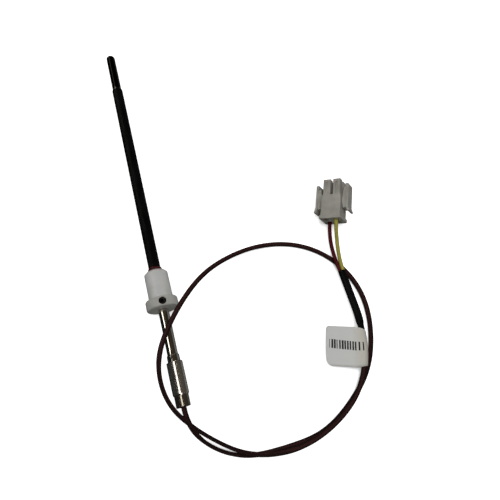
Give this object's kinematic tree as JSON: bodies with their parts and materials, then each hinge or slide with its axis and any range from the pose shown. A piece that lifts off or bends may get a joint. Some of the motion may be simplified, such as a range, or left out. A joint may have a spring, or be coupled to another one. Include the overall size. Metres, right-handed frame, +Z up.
{
  "type": "flame sensor probe",
  "caption": "Straight steel sensing probe with a sliding clamped bush, a flat two-core cable loop, folded label and latching connector.",
  "frame": {"origin": "centre of the shoulder plane where the bush's barrel meets its flange, on the stem's axis", "axes": "+Y along the stem towards its sensing tip, +Z up from the plane the probe lies on, +X to the right towards the cable loop"},
  "size_m": [0.1424, 0.2917, 0.0238],
  "materials": {
    "steel": "drawn and lightly polished",
    "black_sleeve": "smooth, low sheen",
    "red_silicone": "satin",
    "alumina": "unglazed",
    "wire_alloy": "drawn",
    "white_plastic": "turned, satin",
    "brass": "turned",
    "dark_screw": "black oxide",
    "resin": "cast",
    "tinned_metal": "tin plated",
    "black_rubber": "matt",
    "brown_cable": "smooth, low sheen",
    "red_insulation": "smooth",
    "yellow_insulation": "smooth",
    "black_shrink": "shrunk, low sheen",
    "label_paper": "matt",
    "grey_nylon": "moulded, satin"
  },
  "bodies": {
    "probe": {"sheath_tube": "steel", "tip_plug": "steel", "stem_sleeve": "black_sleeve", "seal_ring": "red_silicone", "insulator_beads": "alumina", "thermo_wire_positive": "wire_alloy", "thermo_wire_negative": "wire_alloy", "hot_junction": "wire_alloy", "neck_ring": "steel", "ferrule": "steel", "ferrule_potting": "resin", "crimp_splices": "tinned_metal", "cable_grommet": "black_rubber", "cable_anchored_end": "brown_cable", "cable_core_red": "red_insulation", "cable_core_yellow": "yellow_insulation"},
    "bush": {"mounting_bush": "white_plastic"},
    "clamp_pad": {"clamp_pad": "brass"},
    "grub_screw": {"grub_screw": "dark_screw"},
    "cable": {"cable_jacket": "brown_cable", "tail_core_red": "red_insulation", "tail_core_yellow": "yellow_insulation", "tail_splices": "tinned_metal", "heat_shrink": "black_shrink", "label_flag": "label_paper", "lead_red_spliced_end": "red_insulation", "lead_yellow_spliced_end": "yellow_insulation"},
    "tail": {"lead_red": "red_insulation", "lead_yellow": "yellow_insulation", "connector_housing": "grey_nylon", "terminal_red": "tinned_metal", "terminal_yellow": "tinned_metal"},
    "latch_left": {"latch_left": "grey_nylon"},
    "latch_right": {"latch_right": "grey_nylon"}
  },
  "joints": [
    {"name": "bush_slide", "type": "slide", "parent": "probe", "child": "bush", "axis": [0, 1, 0], "range_m": [-0.0265, 0]},
    {"name": "clamp_pad_travel", "type": "slide", "parent": "bush", "child": "clamp_pad", "axis": [0.2079, 0, 0.9781], "range_m": [0, 0.00105]},
    {"name": "grub_screw_turn", "type": "hinge", "parent": "clamp_pad", "child": "grub_screw", "pos_m": [0, -0.0033, 0], "axis": [0.2079, 0, 0.9781], "range_deg": [0, 540]},
    {"name": "cable_swing", "type": "hinge", "parent": "probe", "child": "cable", "pos_m": [0, -0.06195, 0], "axis": [0, 0, 1], "range_deg": [-10, 10]},
    {"name": "connector_swing", "type": "hinge", "parent": "cable", "child": "tail", "pos_m": [0.1096, -0.01015, -0.0042], "axis": [0, 0, 1], "range_deg": [-15, 15]},
    {"name": "latch_left_rock", "type": "hinge", "parent": "tail", "child": "latch_left", "pos_m": [0.11288, 0.03516, -0.00142], "axis": [-0.5047, 0.0346, 0.8626], "range_deg": [-4, 6], "stiffness_Nm_per_rad": 0.02},
    {"name": "latch_right_rock", "type": "hinge", "parent": "tail", "child": "latch_right", "pos_m": [0.12475, 0.02944, 0.00575], "axis": [0.5047, -0.0346, -0.8626], "range_deg": [-4, 6], "stiffness_Nm_per_rad": 0.02}
  ],
  "couplings": [
    {"joint": "grub_screw_turn", "follows": "clamp_pad_travel", "rad_per_m": 8975}
  ]
}
